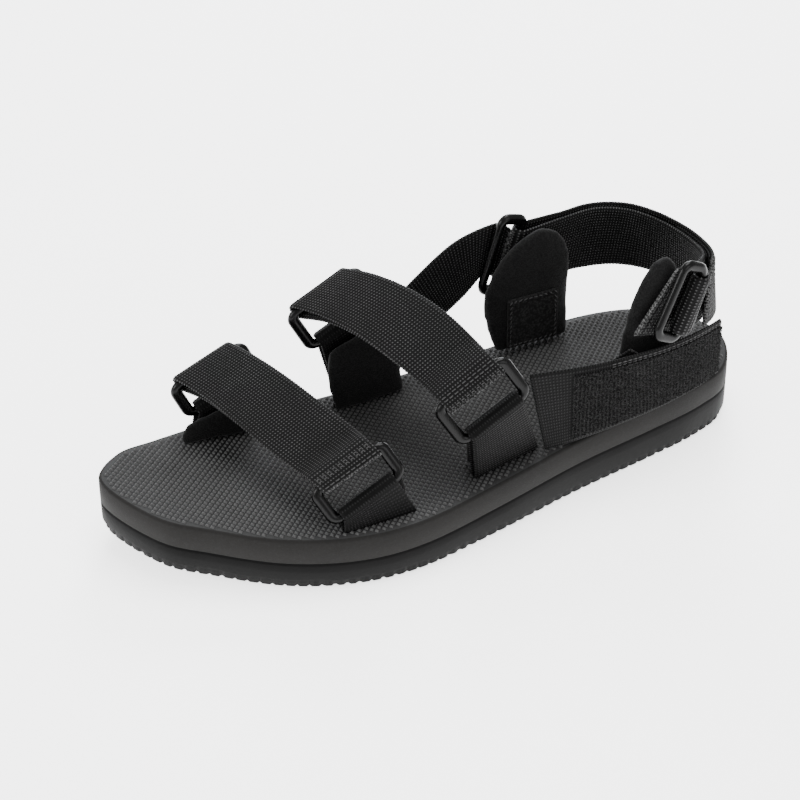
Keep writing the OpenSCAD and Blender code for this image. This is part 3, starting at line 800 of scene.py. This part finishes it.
def cross_strap(key, a, b):
    """Forefoot or instep strap: sewn return, outer turn, base, inner turn, then the flap over the top."""
    lower_a, lower_b = cross_line(a, b, a), cross_line(a, b, b)
    far_a, far_b = hung(a), hung(b)
    upper_a, upper_b = (lifted(far_a, far_b, e, 1, FLAP_END, cross_lift) for e in (far_a, far_b))
    fold = len(lower_a) - 1
    base, top = strip([f"{key}_strap_base", f"{key}_strap_top"], lower_a + upper_a, lower_b + upper_b, 0, WEB_T,
                      webbing, cut=fold)
    settle(base, "sandal", f"{key}_strap")
    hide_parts(f"{key}_flap")
    body = f"{key}_flap_body"
    between(top, middle(a, b, 0, FOLD_HI), middle(a, b, 4, FOLD_HI))
    for k in (24.2, 25.1, 26.45):
        hem(body, far_a, far_b, cross_lift + WEB_T - 0.03, k)
    tape(f"{key}_hook", a, b, 12, 19, HOOK_LO, hooks, body)
    tape(f"{key}_loop", a, b, 7, 19, LOOP_LO, pile, "sandal")


def tape(key, a, b, i, j, lo, material, body):
    n = normals_of(a, b)
    span = slice(i, j + 1)
    one = (a + (b - a) * 0.04 + lo * n)[span]
    two = (b + (a - b) * 0.04 + lo * n)[span]
    made, = strip(f"{key}_tape", one, two, 0, FIX_T, material, step=0.8, weave=0.13, wave=0, side=0.12)
    settle(made, body, key, slot="hook_and_loop")


cross_strap("fore", ff, fr)
cross_strap("instep", jf, jr)

lower = [base_line(ht, hl, e, len(ht) - 1) for e in (ht, hl)]
upper = [lifted(ht, hl, e, 1, 38, flap_lift) for e in (ht, hl)]
heel_base, heel_top = strip(["heel_strap_base", "heel_strap_top"], lower[0] + upper[0], lower[1] + upper[1], 0,
                            WEB_T, webbing, cut=len(lower[0]) - 1)
settle(heel_base, "sandal", "heel_strap")
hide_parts("heel_flap")
between(heel_top, middle(ht, hl, 11, FLAP_LO), middle(ht, hl, 17, FLAP_LO))
tape("heel_hook", ht, hl, 24, 36, HOOK_LO, hooks, "heel_flap_body")
tape("heel_loop", ht, hl, 8, 36, LOOP_LO, pile, "sandal")
for k in (35.6, 36.4, 37.5):
    hem("heel_flap_body", ht, hl, FLAP_LO + WEB_T - 0.03, k)
for k in (49.4, 48.2):
    hem("sandal", ht, hl, WEB_T - 0.03, k)

keeper_lo, keeper_hi = keeper_d - WRAP_R, keeper_d + WRAP_R
rise = [keeper_lo + 0.3, keeper_lo + 1.2, keeper_hi - 0.6]


def keeper_line(e):
    n = normals_of(keeper_a, keeper_b)
    start = [e[keeper_k - 3 + i] + rise[i] * n[keeper_k - 3 + i] for i in range(3)]
    return (start + turn(keeper_a, keeper_b, e, keeper_k, 1, keeper_d, 1)
            + lifted(keeper_a, keeper_b, e, keeper_k - 1, keeper_k - 3, keeper_lo))


keeper, = strip("ring_keeper_loop", keeper_line(keeper_a), keeper_line(keeper_b), 0, WEB_T, webbing)
settle(keeper, "sandal", "ring_keeper")

# side band, its loop pile and the two stays
band, = strip("side_band_cloth", bl, bt, 0, WEB_T, webbing_dull, wave=0.2, cuts=(0, 1))
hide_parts("band_root", "side_band")
n = normals_of(bl, bt)
PILE_FROM = 5
span = slice(PILE_FROM, len(bl) - 1)
one = (bl + (bt - bl) * 0.05 + (WEB_T + 0.02) * n)[span]
two = (bt + (bl - bt) * 0.09 + (WEB_T + 0.02) * n)[span]
pile_band, = strip("band_pile_cloth", one, two, 0, FIX_T * 0.6, pile, step=0.9, weave=0.08, wave=0.1, side=0.12,
                   cuts=(0, 0))
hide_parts("band_pile")
rng = np.random.default_rng(5)
tufts = []
for k in np.arange(PILE_FROM + 0.1, len(bl) - 1.1, 0.14):
    for s in np.arange(0.07, 0.905, 0.025):
        kk, ss = k + rng.uniform(-0.07, 0.07), s + rng.uniform(-0.012, 0.012)
        i = int(kk)
        t = kk - i
        p = (bl[i] * (1 - t) + bl[i + 1] * t) * (1 - ss) + (bt[i] * (1 - t) + bt[i + 1] * t) * ss
        tufts.append(p + n[i] * (WEB_T + FIX_T * 0.6 + 0.04))
fluff = grown("band_pile_loops", studs, tufts, [], Sides=4, Foot=0.0003, Tip=0.0001, Height=0.00028,
              Uneven=0.45, Seed=3, Material=pile)
for piece in (band, pile_band, fluff):
    between(piece, middle(bl, bt, 4, 0), middle(bl, bt, 11, 0))
end_k = len(bl) - 1
for s in (0.965, 0.93):
    seam("side_band_body", bl, bt, WEB_T + 0.02, 11.2, end_k - 1.2, s)
for k in (end_k - 0.9, end_k - 0.35):
    hem("side_band_body", bl, bt, WEB_T, k, 0.04)

stay_up = spline([(-34.2, -26, 27.5), (-37.6, -17, 43), (-39.2, -4, 56.5), (-40.6, 9, 67), (-41, 29, 81),
                  (-41.1, 48.5, 85.5), (-39, 52.4, 84.4), (-36.4, 53.4, 83.6)], 3)
stay_low = spline([(-34.2, 0, 27.8), (-37.8, 6, 33), (-39.4, 14, 38.5), (-40.6, 22.5, 45), (-41, 35, 54),
                   (-41.1, 43.4, 61.6), (-39, 46.4, 61), (-36.4, 46.6, 60.4)], 3)
stay, = strip("stay_medial_web", stay_up, stay_low, 0, WEB_T, webbing)
settle(stay, "sandal", "stay_medial")
for k in (len(stay_up) - 2.2, len(stay_up) - 1.4):
    hem("sandal", stay_up, stay_low, -0.02, k)
outer_low = spline([(33.2, 55, 27.6), (31.8, 64, 31), (30.8, 74, 36), (30.2, 84, 41), (30, 92, 45)], 3)
outer_up = spline([(33.2, 39, 27.4), (32.2, 44, 41), (31.6, 53, 51), (31, 64, 57), (30.4, 74, 60.5)], 3)
stay_out, = strip("stay_lateral_web", outer_low, outer_up, 0, WEB_T, webbing_dull)
settle(stay_out, "sandal", "stay_lateral")


# ---------------------------------------------------------------- anchors and rings

def anchor(key, ring_name, foot, half, lean, side):
    mid, run, hang = rings[ring_name]
    w, up = unit(run), -unit(hang)
    out = np.cross(w, up)
    out = side * unit(out) * (1 if out[0] > 0 else -1)
    reach = WEB_W / 2 - 0.4
    lines = []
    for s in (-1, 1):
        y = foot[1] + s * half
        f = vec(foot[0] + lean * s, y, float(bed_z(np.array(y))))
        c = mid + hang + s * reach * w
        lines.append([f + vec(side * SKIN, 0, -1), f + vec(side * SKIN, 0, 0.4)] + arc(c, out, up, WRAP_R, 0, 180)
                     + [f + vec(-side * SKIN, 0, 0.4), f + vec(-side * SKIN, 0, -1)])
    a, b = (lines[1], lines[0]) if side > 0 else (lines[0], lines[1])
    made, = strip(f"{key}_web", straight(a), straight(b), 0, WEB_T, webbing_dull, cuts=(0, 0))
    settle(made, "sandal", key)


def straight(line):
    """Adds points on the long legs, so that the smoothing keeps them straight."""
    line = list(line)
    first = [line[1] + (line[2] - line[1]) * t for t in (0.3, 0.6, 0.9)]
    second = [line[-3] + (line[-2] - line[-3]) * t for t in (0.1, 0.4, 0.7)]
    return line[:2] + first + line[2:-2] + second + line[-2:]


anchor("fore_anchor_lateral", "fore_ring_lateral", (47, -45.5), 15.5, -0.4, 1)
anchor("fore_anchor_medial", "fore_ring_medial", (-32.6, -79.5), 14, 0, -1)
anchor("instep_anchor_lateral", "instep_ring_lateral", (36.6, 15), 15.5, -3, 1)
anchor("instep_anchor_medial", "instep_ring_medial", (-31.6, -14.5), 14.5, 0, -1)


def ring_piece(key):
    """A moulded ring: round bars, a little flat on their faces, with a fine parting line."""
    u, run, hang = rings[key]
    e1, e2 = unit(run), unit(hang)
    e3 = np.cross(e1, e2)
    mid = u + hang / 2
    bend, arcs, sides = 3.0, 8, 24
    hw, hh = np.linalg.norm(run) / 2 - bend, np.linalg.norm(hang) / 2 - bend
    points = []
    for c, (x, y) in enumerate([(hw, -hh), (hw, hh), (-hw, hh), (-hw, -hh)]):
        for k in range(arcs + 1):
            turned = math.radians(90 * (c - 1 + k / arcs))
            out = math.cos(turned) * e1 + math.sin(turned) * e2
            wide = 0.55 * math.cos(turned) ** 2
            p = mid + x * e1 + y * e2 + (bend + 0.8 * wide) * out
            for s in range(sides):
                b = math.tau * s / sides
                line = 0.05 if s in (0, sides // 2) else 0
                r = BAR_R - 0.03 + line
                points.append(p + (r + wide) * math.cos(b) * out + r * math.sin(b) * e3)
    total = 4 * (arcs + 1)
    faces = [[k * sides + i, k * sides + (i + 1) % sides, ((k + 1) % total) * sides + (i + 1) % sides,
              ((k + 1) % total) * sides + i] for k in range(total) for i in range(sides)]
    made = mesh_piece(f"{key}_frame", points, faces, plastic)
    check_out(made)
    settle(made, "sandal", key, slot="ring_plastic")


def check_out(piece):
    """Turns a closed piece's faces outwards."""
    b = bmesh.new()
    b.from_mesh(piece.data)
    if b.calc_volume(signed=True) < 0:
        bmesh.ops.reverse_faces(b, faces=b.faces)
    b.to_mesh(piece.data)
    b.free()


for key in rings:
    ring_piece(key)


# ---------------------------------------------------------------- pads

def on_bed(x, y):
    return x, y, float(bed_z(np.array(float(y)))) + 0.12


pads = {
    "fore_pad_lateral": (5.0, 1, [on_bed(41.6, -62), (41.8, -61, 26.8), (42, -60, 28.4)],
                         [on_bed(41.6, -30), (41.9, -30, 33), (42, -31.5, 39)]),
    "fore_pad_medial": (5.0, -1, [on_bed(-29.6, -100.5), (-30.4, -100.5, 31), (-30.9, -97.5, 36.5)],
                        [on_bed(-29.6, -65), (-30.4, -65.5, 37), (-30.9, -68, 43)]),
    "instep_pad_lateral": (5.0, 1, [on_bed(35, 0), (34.9, -1, 35), (33.8, -1, 42.5)],
                           [on_bed(30.2, 31), (31.6, 29, 45), (32.2, 26, 57)]),
    "instep_pad_medial": (5.0, -1, [on_bed(-28.8, -33.5), (-28, -37, 43), (-27.2, -35.5, 56.5)],
                          [on_bed(-28.8, 0), (-28, -3, 52), (-27.2, -7, 67)]),
    "ankle_pad_medial": (6.0, -1, [(-34, 43.6, 28), (-34.2, 38.6, 44), (-34.2, 37.4, 56), (-34.2, 43.4, 71),
                                   (-34.2, 53, 80.8), (-34.2, 61.6, 85)],
                         [(-34, 79, 28), (-34.2, 80, 44), (-34.2, 80.6, 57), (-34.2, 79.4, 71), (-34.2, 75, 80.4),
                          (-34.2, 68.6, 85)]),
    "ankle_pad_lateral": (6.0, 1, [(29.4, 69, 28), (29.4, 70, 46), (29.2, 72.4, 62), (29, 76, 77),
                                   (28.6, 81.5, 89), (28.2, 88, 96)],
                          [(24.6, 104, 28), (24.4, 105, 46), (24.6, 104.6, 62), (25, 103, 77), (25.6, 100, 89),
                           (26.4, 95, 96)]),
}
SHRINK = 0.7


def pad_shape(key):
    thick, side, front, rear = pads[key]
    a, b = (spline(rear, 4), spline(front, 4)) if side > 0 else (spline(front, 4), spline(rear, 4))
    inwards = SHRINK / np.linalg.norm(b - a, axis=1)[:, None]
    a, b = a + (b - a) * inwards, b + (a - b) * inwards
    n = normals_of(a, b)
    t = np.linspace(0, 1, 9)
    flat = a[:, None] + (b - a)[:, None] * t[None, :, None]
    outer, inner = flat - n[:, None] * SHRINK, flat - n[:, None] * (thick - SHRINK)
    ring = np.concatenate([outer, inner[:, ::-1]], 1)
    size, rows = ring.shape[1], len(ring)
    points = ring.reshape(-1, 3)
    faces = [[k * size + i, (k + 1) * size + i, (k + 1) * size + (i + 1) % size, k * size + (i + 1) % size]
             for k in range(rows - 1) for i in range(size)]
    faces.append(list(range(size)))
    faces.append([(rows - 1) * size + i for i in range(size)][::-1])
    made = mesh_piece(f"{key}_foam", points, faces, neoprene)
    check_out(made)
    remesh = made.modifiers.new("even", "REMESH")
    remesh.mode = "VOXEL"
    remesh.voxel_size = 0.0017 if "ankle" in key else 0.0014
    remesh.use_smooth_shade = True
    soften = made.modifiers.new("soften", "SMOOTH")
    soften.iterations = 6
    soften.factor = 0.5
    return applied(made)


def inflate(pieces, cap):
    """Fills the pads with pressure as cloth, with the movement of every point held to cap."""
    for piece in pieces:
        cloth = piece.modifiers.new("fill", "CLOTH")
        cloth.settings.use_pressure = True
        cloth.settings.uniform_pressure_force = 4
        cloth.settings.effector_weights.gravity = 0
        cloth.point_cache.frame_start = 1
        cloth.point_cache.frame_end = 20
    for number in range(1, 21):
        scene.frame_set(number)
    dg = bpy.context.evaluated_depsgraph_get()
    for piece in pieces:
        after = piece.evaluated_get(dg).data
        total = len(piece.data.vertices)
        old, new = np.zeros(total * 3), np.zeros(total * 3)
        piece.data.vertices.foreach_get("co", old)
        after.vertices.foreach_get("co", new)
        move = (new - old).reshape(-1, 3)
        size = np.linalg.norm(move, axis=1)[:, None] + 1e-12
        move *= np.minimum(1, cap / size)
        piece.modifiers.clear()
        piece.data.vertices.foreach_set("co", (old.reshape(-1, 3) + move).ravel())
        piece.data.update()
    scene.frame_set(1)


made_pads = {key: pad_shape(key) for key in pads}
PAD_SWELL = 0.0011
inflate(list(made_pads.values()), PAD_SWELL)
for key, piece in made_pads.items():
    level = piece.modifiers.new("level", "SMOOTH")
    level.iterations = 10
    level.factor = 0.5
    detail = piece.modifiers.new("detail", "SUBSURF")
    detail.levels = detail.render_levels = 1
    settle(piece, "sandal", key, slot="neoprene")

PATCH_T, x = 1.2, -27.85
patch_a = np.array([(x, 48.2 + 23.6 * t, 55.8) for t in np.linspace(0, 1, 9)])
patch_b = patch_a - vec(0, 0, 24.6)
patch, = strip("ankle_patch_cloth", patch_b, patch_a, 0, PATCH_T, patch_cloth, step=0.9, weave=0.03, wave=0.1,
               side=0.1)
settle(patch, "sandal", "ankle_patch", slot="neoprene")
corners = [(49.4, 32.6), (70.6, 32.6), (70.6, 54.6), (49.4, 54.6), (49.4, 32.6)]
seams["sandal"].append(np.array([(x + PATCH_T + 0.02, y, z) for y, z in corners]))


# ---------------------------------------------------------------- stitches, one object for each body

for body, lines in seams.items():
    points, edges = [], []
    for line in lines:
        start = len(points)
        points += [list(p) for p in line]
        edges += [(start + i, start + i + 1) for i in range(len(line) - 1)]
    sewn = grown(f"stitches_{body}", stitches, points, edges, Pitch=0.0024, Length=0.0019, Thickness=0.00055,
                 Material=thread)
    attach(sewn, body)
